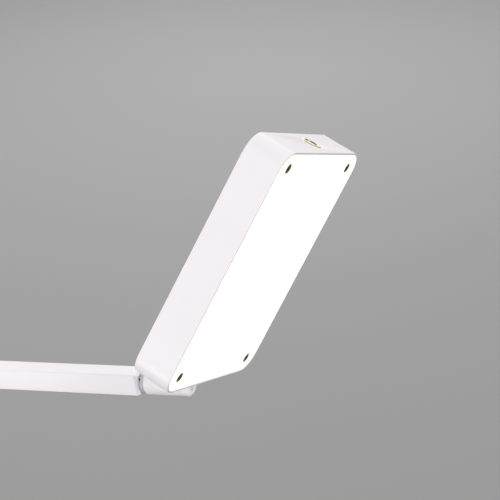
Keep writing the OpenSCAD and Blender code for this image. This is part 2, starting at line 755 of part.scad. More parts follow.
// Rubber pad on which the lamp stands
module base_pad() color("dimgray") bar_z(base_d / 2 - pad_inset, 0, pad_t - slip_gap, $fn = 180);

// Round power inlet in the back of the base
module power_inlet() color("black") translate([0, 0, inlet_z]) difference() {
    union() {
        bar_x(inlet_nose_r, inlet_x0, inlet_x0 + inlet_nose_l);
        box([inlet_x0 + inlet_nose_l - 1, -inlet_side / 2, -inlet_side / 2],
            [inlet_x1, inlet_side / 2, inlet_side / 2]);
    }
    bar_x(inlet_d / 2, inlet_x0 - eps, inlet_x0 + inlet_depth);
}

// Centre contact of the power inlet
module inlet_contact() color("silver") translate([0, 0, inlet_z])
    bar_x(inlet_pin_r, inlet_x0 + 1, inlet_x0 + inlet_depth);

head_housing();
diffuser_plate();
diffuser_screws();
light_board();
light_packages();
board_screws();
driver_board();
head_lead();
button_bezel();
button_nut();
button_cap();
button_switch();
hinge_tongue();
tongue_screws();
tilt_pin();
tilt_washers();
swivel_barrel();
swivel_stud();
slip_washers();
swivel_collar();
swivel_nut();
swivel_spring_washer();
upper_arm_tip_plug();
upper_arm_tube();
upper_arm_eye_plug();
upper_plug_screws();
upper_arm_lead();
elbow_bolt();
elbow_washer();
elbow_nut();
lower_arm_eye_plug();
lower_arm_tube();
lower_arm_foot_plug();
lower_plug_screws();
lower_arm_lead();
turret();
base_hinge_pin();
base_hinge_washers();
base_hinge_cap();
turret_washer();
turret_nut();
turret_lead();
base_cover();
base_weight();
weight_screws();
floor_plate();
floor_screws();
base_pad();
power_inlet();
inlet_contact();
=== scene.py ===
# %% [markdown]
# # Folding LED desk lamp
# A flat head with a glowing face sits on the tip of a square arm. The head tilts on a pin in the fork
# of a round barrel, and the barrel turns about the arm. The photograph shows the head, the barrel and
# a stretch of the arm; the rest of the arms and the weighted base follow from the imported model.
# Every cell below dresses that model: it keeps each solid's place and gives it edges and a finish.

# %% Tools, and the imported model
import json
import math

import bmesh
import bpy
from mathutils import Matrix, Vector

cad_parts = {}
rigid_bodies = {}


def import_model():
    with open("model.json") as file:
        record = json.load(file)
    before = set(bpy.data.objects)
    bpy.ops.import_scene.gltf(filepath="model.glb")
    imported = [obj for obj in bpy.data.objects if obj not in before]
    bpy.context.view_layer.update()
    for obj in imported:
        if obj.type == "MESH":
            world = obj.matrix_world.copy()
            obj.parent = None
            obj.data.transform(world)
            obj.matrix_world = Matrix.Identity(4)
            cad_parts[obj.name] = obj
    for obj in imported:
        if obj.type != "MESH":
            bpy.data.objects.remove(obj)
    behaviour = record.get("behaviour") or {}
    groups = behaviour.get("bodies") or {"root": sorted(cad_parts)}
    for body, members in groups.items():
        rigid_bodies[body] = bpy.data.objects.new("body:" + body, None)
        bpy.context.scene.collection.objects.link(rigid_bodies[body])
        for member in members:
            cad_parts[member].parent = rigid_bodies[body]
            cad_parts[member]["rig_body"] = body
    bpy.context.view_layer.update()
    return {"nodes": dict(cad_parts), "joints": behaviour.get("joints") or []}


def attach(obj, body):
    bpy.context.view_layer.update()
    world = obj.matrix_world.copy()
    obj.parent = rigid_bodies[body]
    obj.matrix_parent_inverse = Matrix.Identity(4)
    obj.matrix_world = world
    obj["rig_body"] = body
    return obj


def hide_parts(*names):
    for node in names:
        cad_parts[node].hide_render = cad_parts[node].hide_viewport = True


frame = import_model()
cad_nodes = frame["nodes"]
MM = 0.001
print("nodes in the packed model:", len(cad_nodes))

# %% [markdown]
# The photograph was matched with a long lens from about 0.87 m away. The edges of the head fix where
# the camera stands, so its place and turn are written here as found, and nothing is aimed by eye.

# %% Camera
CAMERA_PLACE = (0.49137, -0.70085, 0.75871)
CAMERA_TURN = (67.3921, 0.1688, 21.4199)
LENS_MM, SENSOR_MM = 112.45, 36
NEAREST, FARTHEST = 0.01, 50

camera_data = bpy.data.cameras.new("camera")
camera_data.lens = LENS_MM
camera_data.sensor_width = SENSOR_MM
camera_data.sensor_fit = "HORIZONTAL"
camera_data.clip_start = NEAREST
camera_data.clip_end = FARTHEST
camera = bpy.data.objects.new("camera", camera_data)
camera.location = CAMERA_PLACE
camera.rotation_euler = [math.radians(turn) for turn in CAMERA_TURN]
bpy.context.scene.collection.objects.link(camera)
bpy.context.scene.camera = camera
bpy.context.scene.view_settings.view_transform = "Standard"
print("camera, m above the floor:", CAMERA_PLACE[2])

# %% [markdown]
# Colours are picked as a person sees them, in sRGB. The renderer adds light, so it needs linear
# numbers, and one function turns the one into the other. A second one adds any node, to a material or
# to a geometry tree, with its settings and its links, so that each recipe reads from top to bottom.


# %% Colours and nodes
def linear(colour):
    """An sRGB hex colour such as "#EDE9EB" as linear red, green, blue and alpha."""
    parts = [int(colour[i : i + 2], 16) / 255 for i in (1, 3, 5)]
    return [p / 12.92 if p <= 0.04045 else ((p + 0.055) / 1.055) ** 2.4 for p in parts] + [1.0]


def add(tree, kind, inputs=None, **settings):
    """Adds one node. An input takes a value, a socket, or a whole node, by its first output."""
    node = tree.nodes.new(kind)
    for name, value in settings.items():
        setattr(node, name, value)
    for key, value in (inputs or {}).items():
        source = value.outputs[0] if isinstance(value, bpy.types.Node) else value
        if isinstance(source, bpy.types.NodeSocket):
            tree.links.new(source, node.inputs[key])
        else:
            node.inputs[key].default_value = source
    return node


def new_material(name, **surface_values):
    """A material with one Principled surface: it, its tree, the surface's inputs and the place."""
    material = bpy.data.materials.new(name)
    material.use_nodes = True
    tree = material.node_tree
    tree.nodes.clear()
    values = {key.replace("_", " "): value for key, value in surface_values.items()}
    surface = add(tree, "ShaderNodeBsdfPrincipled", values)
    add(tree, "ShaderNodeOutputMaterial", {"Surface": surface})
    place = add(tree, "ShaderNodeTexCoord").outputs["Object"]
    return material, tree, surface.inputs, place


print("mid grey as the renderer takes it:", round(linear("#808080")[0], 3))

# %% [markdown]
# Paint, metal and plastic carry the same three traces of how they were made: a tone that wanders, a
# gloss that wanders, and a fine grain that can be felt. Each is a noise with a real size in
# millimetres. It reads the object's own coordinates, so it stays on the piece when a joint moves.


# %% Tone, gloss and grain
def blobs(place, size_mm, detail=2.0):
    """The inputs of a noise whose blobs are about size_mm across."""
    return {"Vector": place, "Scale": 1 / (size_mm * MM), "Detail": detail}


def mottle(tree, target, noise, first, second):
    """Lets a colour wander between two sRGB hex tones."""
    noise = add(tree, "ShaderNodeTexNoise", noise)
    tones = {"Factor": noise, 6: linear(first), 7: linear(second)}
    tree.links.new(add(tree, "ShaderNodeMix", tones, data_type="RGBA").outputs[2], target)


def vary(tree, target, noise, low, high):
    """Lets a number such as the roughness wander from low to high."""
    noise = add(tree, "ShaderNodeTexNoise", noise)
    span = {"Value": noise, "To Min": low, "To Max": high}
    tree.links.new(add(tree, "ShaderNodeMapRange", span).outputs[0], target)


def emboss(tree, target, noise, depth_mm):
    """Raises the surface by up to depth_mm where the noise is high."""
    noise = add(tree, "ShaderNodeTexNoise", noise)
    relief = {"Height": noise, "Distance": depth_mm * MM, "Strength": 1.0}
    tree.links.new(add(tree, "ShaderNodeBump", relief).outputs[0], target)


# %% [markdown]
# The head, the arms and the base are powder coated: a dry paint, baked to a satin skin. Close up it
# has a faint orange peel with waves of about a millimetre, and the gloss wanders a little over it.
# The photograph shows a white with a breath of lilac, so the two whites that are mixed lean that way.


# %% Powder coat
def powder_coat(name, light, dark, rough=0.42):
    """A satin paint in two near tones, with blobs of 45 mm in its tone and waves of 1.1 mm."""
    material, tree, surface, place = new_material(name, IOR=1.5)
    mottle(tree, surface["Base Color"], blobs(place, 45, 3), light, dark)
    vary(tree, surface["Roughness"], blobs(place, 6), rough - 0.06, rough + 0.06)
    emboss(tree, surface["Normal"], blobs(place, 1.1, 1), 0.012)
    return material


white_coat = powder_coat("powder_coated_aluminium", "#F1ECEF", "#EBE6E9")
white_steel_coat = powder_coat("powder_coated_steel", "#E6E3E5", "#DFDCDE", 0.55)
# The greyer coat is painted shade: the dark line of shade round the diffuser.
rim_painted_shade_coat = powder_coat("powder_coat_painted_shade_line", "#D8D4D1", "#D2CECB")
print("coats:", white_coat.name, white_steel_coat.name, rim_painted_shade_coat.name)

# %% [markdown]
# The diffuser is opal acrylic, a milky plastic that spreads the light of the packages behind it. In
# the photograph it is lit and burns out to plain white, so its glow and the light of the room come
# to just above white together. The walls of its screw holes show the light through more plastic,
# which warms it to cream. Its border rests on the housing, so no light comes from behind, and its
# greyer tone is painted shade: the dark line of shade round the light.

# %% Opal acrylic
ACRYLIC = {"IOR": 1.49}
opal, tree, surface, place = new_material(
    "opal_acrylic", Roughness=0.35, Base_Color=linear("#F7F6F2"), **ACRYLIC
)
mottle(tree, surface["Emission Color"], blobs(place, 60), "#FFFFFF", "#FFFEFA")
vary(tree, surface["Emission Strength"], blobs(place, 30), 0.48, 0.52)

opal_edge, tree, surface, place = new_material(
    "opal_acrylic_cut_edge", Roughness=0.5, Base_Color=linear("#EFE3B8"), **ACRYLIC
)
mottle(tree, surface["Emission Color"], blobs(place, 2), "#FFF6CC", "#FFEDB0")
surface["Emission Strength"].default_value = 0.45

# The border's greyer tone is painted shade: the dark line at the edge of the light.
opal_border_painted_shade, tree, surface, place = new_material("opal_acrylic_unlit_painted_shade", Roughness=0.4, **ACRYLIC)
mottle(tree, surface["Base Color"], blobs(place, 8), "#E6E1DB", "#E0DBD5")
print("opal:", opal.name, opal_edge.name, opal_border_painted_shade.name)


# %% [markdown]
# Metals are told apart by colour and by how they were made. Turned brass and zinc plate have a fine
# grain that breaks up the highlight. Lacquer hides most of the metal, and two darker brass tones are
# painted shade on the button. A blackened bronze screw is dark with worn tips, and cast iron is
# rough all over. One recipe with the grain's size and depth covers them.


# %% Metals
def metal(name, light, dark, rough, grain_mm, depth_mm, bare=1.0):
    """bare is the share of metal in the surface; a lacquer or an oxide skin covers the rest."""
    material, tree, surface, place = new_material(name, Metallic=bare)
    mottle(tree, surface["Base Color"], blobs(place, grain_mm, 3), light, dark)
    vary(tree, surface["Roughness"], blobs(place, 4 * grain_mm), rough - 0.06, rough + 0.06)
    emboss(tree, surface["Normal"], blobs(place, grain_mm, 3), depth_mm)
    return material


# name, lighter and darker tone, roughness, grain in mm, its depth in mm, share of metal
brass = metal("turned_brass", "#F4E7BE", "#ECDCA8", 0.28, 0.5, 0.003)
lacquered_brass = metal("lacquered_brass", "#FFFAEA", "#FCF4E0", 0.38, 0.5, 0.002, 0.15)
# The next two darker brasses are painted shade: a line round the button's ring and inside its pan.
brass_painted_rim_shade = metal("brass_with_painted_rim_shade", "#BFB49E", "#B1A690", 0.45, 0.5, 0.004)
brass_painted_pan_shade = metal("brass_with_painted_pan_shade", "#857B6B", "#766C5D", 0.4, 0.5, 0.004)
bronze = metal("blackened_bronze", "#8C7D5C", "#665840", 0.5, 0.6, 0.006)
black_steel = metal("black_oxide_steel", "#3C3B3D", "#2C2B2D", 0.42, 0.6, 0.004)
steel = metal("zinc_plated_steel", "#C9C9CB", "#B7B8BC", 0.32, 0.7, 0.003)
bare_aluminium = metal("mill_finish_aluminium", "#D5D6D8", "#C6C7CA", 0.38, 0.8, 0.004)
lilac_aluminium = metal("anodised_aluminium", "#DAD3DD", "#CCC5D0", 0.4, 0.8, 0.003, 0.5)
iron = metal("cast_iron", "#5A5654", "#46423F", 0.6, 1.6, 0.06)
print("metals, from", brass.name, "to", iron.name)

# %% [markdown]
# Plastics and rubber: the two slip washers of the barrel are smoke grey and light grey nylon, and the
# smoke grey is partly painted shade of the gap beside the arm. The washers of the other joints are
# black. The switch and the inlet are moulded ABS, the leads have a soft white jacket, and the pad is
# black rubber with a fine grain. The driver board is glass and resin under a green mask, and the
# light packages are silicone, yellow with phosphor.


# %% Plastics and rubber
def plastic(name, light, dark, rough, grain_mm, depth_mm, ior=1.5):
    """A moulded plastic or rubber in two near tones, with the fine grain of its mould."""
    material, tree, surface, place = new_material(name, IOR=ior)
    mottle(tree, surface["Base Color"], blobs(place, 8 * grain_mm), light, dark)
    vary(tree, surface["Roughness"], blobs(place, grain_mm), rough - 0.05, rough + 0.07)
    emboss(tree, surface["Normal"], blobs(place, grain_mm), depth_mm)
    return material


# name, lighter and darker tone, roughness, grain in mm, its depth in mm, index of refraction
nylon = plastic("black_nylon", "#2B292D", "#1F1D21", 0.5, 0.5, 0.004)
# The smoke grey is partly painted shade: the dark gap between the arm and the collar.
smoke_nylon_gap_shade = plastic("smoke_grey_nylon_painted_gap_shade", "#ADA6B1", "#A099A4", 0.5, 0.5, 0.004)
grey_nylon = plastic("light_grey_nylon", "#DAD3DD", "#CFC8D2", 0.5, 0.5, 0.004)
ceramic = plastic("white_ceramic_filled_plastic", "#F1F0EC", "#E8E7E3", 0.45, 0.6, 0.004)
abs_plastic = plastic("moulded_abs", "#1E1E20", "#161618", 0.4, 0.6, 0.006)
jacket = plastic("soft_pvc_jacket", "#E4E3E1", "#D8D7D5", 0.48, 0.8, 0.004)
rubber = plastic("natural_rubber", "#1C1C1C", "#131313", 0.75, 0.7, 0.03, 1.52)
green_mask = plastic("solder_mask_green", "#1F5A38", "#174A2D", 0.3, 1.2, 0.01)
phosphor = plastic("phosphor_silicone", "#F4DE6A", "#EBCB4B", 0.4, 0.8, 0.01, 1.41)
print("materials so far:", len(bpy.data.materials))

# %% [markdown]
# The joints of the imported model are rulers. The button moves along the head, the head tilts on a pin
# that lies across it, and the barrel turns about the upper arm. Their axes give each group its own
# length, width and depth, so a piece is measured and made straight, and only then laid in place.


# %% Rulers from the joints
def joint_ruler(name):
    """Place and direction of a joint's axis. A sliding joint has a direction only."""
    joint = next(joint for joint in frame["joints"] if joint["name"] == name)
    return Vector(joint.get("pos_m", (0, 0, 0))), Vector(joint["axis"]).normalized()


def ruler(origin, along, across):
    """A frame with x along, y across and z square to both, as a matrix that lays things in place."""
    x = along.normalized()
    z = x.cross(across).normalized()
    axes = Matrix((x, z.cross(x), z)).transposed()
    return Matrix.Translation(origin) @ axes.to_4x4()


pin_place, pin_axis = joint_ruler("head_tilt")
head_ruler = ruler(pin_place, -joint_ruler("button_press")[1], -pin_axis)
barrel_ruler = ruler(pin_place, joint_ruler("head_turn")[1], -pin_axis)


def measured(node, place):
    """Lowest and highest corner of a CAD node in a ruler's own directions."""
    back = place.inverted()
    points = [back @ vertex.co for vertex in cad_nodes[node].data.vertices]
    low = Vector([min(p[axis] for p in points) for axis in range(3)])
    high = Vector([max(p[axis] for p in points) for axis in range(3)])
    return low, high


head_low, head_high = measured("head_housing", head_ruler)
print("head, mm:", [round(n / MM, 2) for n in head_high - head_low])

# %% [markdown]
# A CAD solid arrives as loose triangles with knife-sharp edges. Nothing real has those: a tumbled
# casting, a sawn tube and a painted edge all have a small round that catches a line of light. So a
# copy of the solid is welded, its flat triangles are joined to whole faces, and a Bevel rounds its
# sharp edges. Hardened normals keep the flats flat next to the rounds.


# %% Softened copies of the solids
WELD = 0.002 * MM
FLAT = math.radians(0.6)
SHARP = math.radians(40)
ROUND_STEPS = 2


def welded(node):
    """The mesh of a CAD node with its triangles joined."""
    mesh = bmesh.new()
    mesh.from_mesh(cad_nodes[node].data)
    bmesh.ops.remove_doubles(mesh, verts=mesh.verts, dist=WELD)
    bmesh.ops.dissolve_limit(mesh, angle_limit=FLAT, verts=mesh.verts, edges=mesh.edges)
    return mesh


def settle(piece):
    """Turns what the modifiers make into the piece's own plain mesh."""
    graph = bpy.context.evaluated_depsgraph_get()
    made = bpy.data.meshes.new_from_object(piece.evaluated_get(graph))
    old = piece.data
    piece.modifiers.clear()
    piece.data = made
    made.name = piece.name
    bpy.data.meshes.remove(old)
    return piece


def new_piece(name, mesh, materials):
    """An object at the origin with these materials."""
    if isinstance(mesh, bmesh.types.BMesh):
        data = bpy.data.meshes.new(name)
        mesh.to_mesh(data)
        mesh.free()
        mesh = data
    for material in materials:
        mesh.materials.append(material)
    piece = bpy.data.objects.new(name, mesh)
    bpy.context.scene.collection.objects.link(piece)
    return piece


def soften(name, node, materials, round_mm, choose=None):
    """Replaces a CAD node by a welded copy with rounded edges. choose gives a face's material."""
    mesh = welded(node)
    if choose:
        for face in mesh.faces:
            face.material_index = choose(face)
    piece = new_piece(name, mesh, materials)
    bevel = piece.modifiers.new("rounded_edges", "BEVEL")
    bevel.width = round_mm * MM
    bevel.segments = ROUND_STEPS
    bevel.limit_method = "ANGLE"
    bevel.angle_limit = SHARP
    bevel.miter_outer = "MITER_ARC"
    bevel.harden_normals = True
    piece.data.shade_smooth()
    piece.data.set_sharp_from_angle(angle=SHARP)
    settle(piece)
    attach(piece, cad_nodes[node]["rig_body"])
    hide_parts(node)
    print(name, "faces:", len(piece.data.polygons))
    return piece


# %% [markdown]
# The head is a cast tray with a skin of paint. Its corners are already round in the model; what it
# lacks is the fine round on the rim, on the slot for the lug and on the button's hole. The rim round
# the diffuser is only half a millimetre wide. It gets a greyer coat, which is painted shade: it draws
# the fine dark line of shade round the light.


# %% Head housing
RIM_DEPTH = 0.5 * MM
FACES_FRONT = -0.25


def rim_finish(face):
    """1 for the narrow rim round the diffuser and its round, which carry the painted shade."""
    place = head_ruler.inverted() @ face.calc_center_median()
    forward = head_ruler.to_3x3().inverted() @ face.normal
    return 1 if place.z < head_low.z + RIM_DEPTH and forward.z < FACES_FRONT else 0


coats = [white_coat, rim_painted_shade_coat]
soften("head_shell", "head_housing", coats, 0.12, rim_finish)

# %% [markdown]
# Screws come in sets that are all alike, which is what Geometry Nodes are for: one screw is built in a
# tree from named sizes, a point marks each place, and Instance on Points sets a screw on every point.
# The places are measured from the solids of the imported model, so nothing is typed twice. A node may
# hold several solids, so its mesh is first taken apart into groups of vertices that hang together.


# %% The places of a set of screws
def seats(node, direction):
    """The middle of the top of each separate solid of a node, and its radius and length.

    They come sorted by place, so that each run of the script gives the same meshes.
    """
    mesh = bmesh.new()
    mesh.from_mesh(cad_nodes[node].data)
    bmesh.ops.remove_doubles(mesh, verts=mesh.verts, dist=WELD)
    place = ruler(Vector(), direction, direction.orthogonal())
    back = place.inverted()
    left, found = set(mesh.verts), []
    while left:
        group, edge = set(), [left.pop()]
        while edge:
            vertex = edge.pop()
            group.add(vertex)
            near = {e.other_vert(vertex) for e in vertex.link_edges} & left
            left -= near
            edge.extend(near)
        points = [back @ vertex.co for vertex in group]
        low = [min(p[axis] for p in points) for axis in range(3)]
        high = [max(p[axis] for p in points) for axis in range(3)]
        top = place @ Vector((high[0], (low[1] + high[1]) / 2, (low[2] + high[2]) / 2))
        found.append((top, (high[1] - low[1]) / 2, high[0] - low[0]))
    mesh.free()
    return sorted(found, key=lambda seat: [round(n, 6) for n in seat[0]])


OUT_OF_FACE = head_ruler.to_3x3() @ Vector((0, 0, -1))
print("screws in the face:", len(seats("diffuser_screws", OUT_OF_FACE)))

# %% [markdown]
# A geometry tree has named inputs for its sizes, as a drawing has dimensions. What several trees
# share is kept here: the empty tree, a round bar, a shape set on every point, and the end, where the
# instances are made real and get their material. The result is then kept as a plain mesh, because
# the modifier itself can't be exported.

# %% Tools for geometry trees
KINDS = {float: "NodeSocketFloat", Vector: "NodeSocketVector"}


def new_tree(name, **sizes):
    """A geometry tree with a named input for each size. Returns the tree and its inputs by name."""
    tree = bpy.data.node_groups.new(name, "GeometryNodeTree")
    tree.interface.new_socket("Geometry", in_out="INPUT", socket_type="NodeSocketGeometry")
    tree.interface.new_socket("Geometry", in_out="OUTPUT", socket_type="NodeSocketGeometry")
    for size, value in sizes.items():
        tree.interface.new_socket(size, in_out="INPUT", socket_type=KINDS[type(value)])
    return tree, add(tree, "NodeGroupInput").outputs


def bar(tree, radius, low, high, sides=40):
    """A round bar on the z axis from low to high."""
    length = add(tree, "ShaderNodeMath", {0: high, 1: low}, operation="SUBTRACT")
    total = add(tree, "ShaderNodeMath", {0: high, 1: low}, operation="ADD")
    middle = add(tree, "ShaderNodeMath", {0: total, 1: 0.5}, operation="MULTIPLY")
    rod = {"Vertices": sides, "Radius": radius, "Depth": length}
    rod = add(tree, "GeometryNodeMeshCylinder", rod)
    lift = add(tree, "ShaderNodeCombineXYZ", {"Z": middle})
    return add(tree, "GeometryNodeTransform", {"Geometry": rod, "Translation": lift})


def set_on_points(tree, points, shape, direction):
    """The shape on every point, with its z axis along the direction."""
    turn = add(tree, "FunctionNodeAlignRotationToVector", {"Vector": direction}, axis="Z")
    placed = {"Points": points, "Instance": shape, "Rotation": turn}
    return add(tree, "GeometryNodeInstanceOnPoints", placed)


def finish_tree(tree, geometry, material):
    """Ends a tree in Realize Instances and Set Material."""
    real = add(tree, "GeometryNodeRealizeInstances", {"Geometry": geometry})
    dressed = {"Geometry": real, "Material": material}
    add(tree, "NodeGroupOutput", {0: add(tree, "GeometryNodeSetMaterial", dressed)})


def grow(name, tree, points, values, body, finish_slot, nodes, materials):
    """Runs a tree on points and keeps the result as a plain piece that stands for these nodes."""
    mesh = bpy.data.meshes.new(name)
    mesh.from_pydata(points, [], [])
    piece = new_piece(name, mesh, materials)
    modifier = piece.modifiers.new(tree.name, "NODES")
    modifier.node_group = tree
    for socket in tree.interface.items_tree:
        if socket.name in values:
            modifier[socket.identifier] = values[socket.name]
    settle(piece)
    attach(piece, body)
    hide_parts(*nodes)
    print(name, "faces:", len(piece.data.polygons))
    return piece


# %% [markdown]
# A machine screw is a turned head with a chamfered rim, a shank below it and a hexagon broached into
# its top. The tree follows the lathe: a line has one point for each height of the profile, and a
# circle goes along it, scaled to the radius at each. That gives one closed solid, into which a
# six-sided bar then sinks. The chamfer is small, but it draws the bright ring of a real screw.


# %% Screws of the face
STEP = 0.01 * MM


def turned(tree, profile, sides=40):
    """A solid turned about z from (height, radius), from the bottom up. None is a height of 0."""
    number = add(tree, "GeometryNodeInputIndex")
    fields = []
    for values in zip(*profile):
        field = add(tree, "GeometryNodeIndexSwitch", {"Index": number}, data_type="FLOAT")
        for place, value in enumerate(values):
            if place > 1:
                field.index_switch_items.new()
            if value is not None:
                tree.links.new(value, field.inputs[str(place)])
        fields.append(field)
    height, radius = fields
    line = add(tree, "GeometryNodeMeshLine", {"Count": len(profile)})
    line = add(tree, "GeometryNodeMeshToCurve", {"Mesh": line})
    point = add(tree, "ShaderNodeCombineXYZ", {"Z": height})
    line = add(tree, "GeometryNodeSetPosition", {"Geometry": line, "Position": point})
    circle = {"Resolution": sides, "Radius": 1.0}
    circle = add(tree, "GeometryNodeCurvePrimitiveCircle", circle)
    swept = {"Curve": line, "Profile Curve": circle, "Scale": radius, "Fill Caps": True}
    return add(tree, "GeometryNodeCurveToMesh", swept)


def screw_tree(name, material):
    """Screws whose tops lie on the points, all along one direction."""
    sizes = {"Head radius": 0.0, "Head height": 0.0, "Chamfer": 0.0, "Shank radius": 0.0}
    sizes |= {"Length": 0.0, "Socket radius": 0.0, "Socket depth": 0.0, "Direction": Vector()}
    tree, given = new_tree(name, **sizes)
    under, tip, rim, floor = (
        add(tree, "ShaderNodeMath", {0: given[size], 1: -1}, operation="MULTIPLY").outputs[0]
        for size in ("Head height", "Length", "Chamfer", "Socket depth")
    )
    shank, head = given["Shank radius"], given["Head radius"]
    crown = {0: head, 1: given["Chamfer"]}
    crown = add(tree, "ShaderNodeMath", crown, operation="SUBTRACT").outputs[0]
    neck = {0: under, 1: STEP}
    neck = add(tree, "ShaderNodeMath", neck, operation="SUBTRACT").outputs[0]
    profile = [(tip, shank), (neck, shank), (under, head), (rim, head), (None, crown)]
    solid = turned(tree, profile)
    key = bar(tree, given["Socket radius"], floor, given["Socket depth"], 6)
    screw = {"Mesh 1": solid, "Mesh 2": key}
    screw = add(tree, "GeometryNodeMeshBoolean", screw, operation="DIFFERENCE")
    screw = set_on_points(tree, given["Geometry"], screw, given["Direction"])
    finish_tree(tree, screw, material)
    return tree


def screws(name, tree, node, direction, sizes_mm, finish_slot, material, lift_mm=0.0):
    """A set of screws in place of a node, on its own places and with its own radius and length."""
    lift = direction * lift_mm * MM
    found = seats(node, direction)
    tops = [top + lift for top, *_ in found]
    _, radius, length = found[0]
    values = {size: value * MM for size, value in sizes_mm.items()} | {"Direction": direction}
    values |= {"Head radius": radius, "Length": length + lift_mm * MM}
    body = cad_nodes[node]["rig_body"]
    return grow(name, tree, tops, values, body, finish_slot, [node], [material])


bronze_screw = screw_tree("bronze_screw", bronze)
face_sizes = {"Head height": 1.05, "Chamfer": 0.15, "Shank radius": 1.48}
face_sizes |= {"Socket radius": 1.1, "Socket depth": 0.8}
face_set = ("diffuser_screws", OUT_OF_FACE, face_sizes, "brass_screws", bronze)
screws("face_screws", bronze_screw, *face_set, lift_mm=0.3)

# %% [markdown]
# The diffuser is one opal plate with a counterbored hole at each corner. No light passes where it lies
# on the housing's ledge, so its border is dull and a little grey next to the glowing middle, the grey
# being painted shade, and the walls of the holes, which look along the light, glow cream round each
# screw. The plate is laid out as a sheet metal part would be: closed loops of points, bridged to
# walls, and the flats between the loops filled.


# %% Loops, walls and flats
def rounded_points(low, high, inset, corner, height, steps=12):
    """A rectangle with round corners, inset from its box, as points at one height."""
    points = []
    box = ((high.x, high.y), (low.x, high.y), (low.x, low.y), (high.x, low.y))
    for number, (x, y) in enumerate(box):
        middle_x = x - math.copysign(corner, x - (low.x + high.x) / 2)
        middle_y = y - math.copysign(corner, y)
        for step in range(steps + 1):
            turn = math.pi / 2 * (number + step / steps)
            reach = corner - inset
            point = (middle_x + reach * math.cos(turn), middle_y + reach * math.sin(turn), height)
            points.append(point)
    return points


def circle_points(x, y, radius, height, steps=40):
    turns = [2 * math.pi * step / steps for step in range(steps)]
    return [(x + radius * math.cos(turn), y + radius * math.sin(turn), height) for turn in turns]


def lay(mesh, place, points):
    """A loop of vertices."""
    return [mesh.verts.new(place @ Vector(point)) for point in points]


def bridge(mesh, loops, material):
    """Walls between loops that have the same count."""
    for low, high in zip(loops, loops[1:]):
        for number in range(len(low)):
            after = (number + 1) % len(low)
            face = mesh.faces.new((low[number], low[after], high[after], high[number]))
            face.material_index = material


def fill(mesh, loops, material):
    """A flat between an outer loop and the loops of its holes."""
    edges = []
    for loop in loops:
        for one, other in zip(loop, loop[1:] + loop[:1]):
            edges.append(mesh.edges.get((one, other)) or mesh.edges.new((one, other)))
    made = bmesh.ops.triangle_fill(mesh, edges=edges, use_beauty=True)["geom"]
    for face in made:
        if isinstance(face, bmesh.types.BMFace):
            face.material_index = material


# %% [markdown]
# The sizes of the plate follow, with the loops from the back of its edge to the glowing middle. Each
# hole starts with a small chamfer, which catches the light round the screw's head, goes down wide for
# the head, and ends narrow for the shank.

# %% Diffuser plate
# The border and the plate's edge take the unlit opal, whose greyer tone is painted shade.
GLOWING, CUT, UNLIT_PAINTED_SHADE = 0, 1, 2
ROUND = math.radians(30)
CORNER, BORDER, EDGE = 11.3 * MM, 0.4 * MM, 0.15 * MM
MOUTH_RADIUS, HEAD_RADIUS, SHANK_RADIUS = 3.3 * MM, 2.85 * MM, 1.55 * MM
MOUTH_DEPTH, HEAD_DEPTH = 0.4 * MM, 1.3 * MM

plate_low, plate_high = measured("diffuser_plate", head_ruler)
front, back = plate_low.z, plate_high.z
mesh = bmesh.new()
rims = [
    lay(mesh, head_ruler, rounded_points(plate_low, plate_high, inset, CORNER, height))
    for inset, height in [(0, back), (0, front + EDGE), (EDGE, front), (BORDER, front)]
]
bridge(mesh, rims, UNLIT_PAINTED_SHADE)
front_loops, back_loops = [rims[-1]], [rims[0]]
hole_steps = [(MOUTH_RADIUS, front), (HEAD_RADIUS, front + MOUTH_DEPTH)]
hole_steps += [(HEAD_RADIUS, front + HEAD_DEPTH), (SHANK_RADIUS, front + HEAD_DEPTH)]
hole_steps += [(SHANK_RADIUS, back)]
for top, *_ in seats("diffuser_screws", OUT_OF_FACE):
    x, y, _ = head_ruler.inverted() @ top
    hole = [lay(mesh, head_ruler, circle_points(x, y, *step)) for step in hole_steps]
    bridge(mesh, hole, CUT)
    front_loops.append(hole[0])
    back_loops.append(hole[-1])
fill(mesh, front_loops, GLOWING)
fill(mesh, back_loops, GLOWING)
bmesh.ops.recalc_face_normals(mesh, faces=mesh.faces)
plate = new_piece("diffuser", mesh, [opal, opal_edge, opal_border_painted_shade])
plate.data.shade_smooth()
plate.data.set_sharp_from_angle(angle=ROUND)
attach(plate, "head")
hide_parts("diffuser_plate")
print("diffuser, mm:", [round(n / MM, 2) for n in plate_high - plate_low])

# %% [markdown]
# Behind the diffuser sits the board with its light packages, 35 of them in rows. A package is a small
# white tray filled with silicone that holds the phosphor. It repeats often, so it has few faces: a
# block for the tray and a low twelve-sided lens, set on every place by the same kind of tree.

# %% Light packages
LENS_OF_SIDE, LENS_OF_HEIGHT = 0.4, 0.02


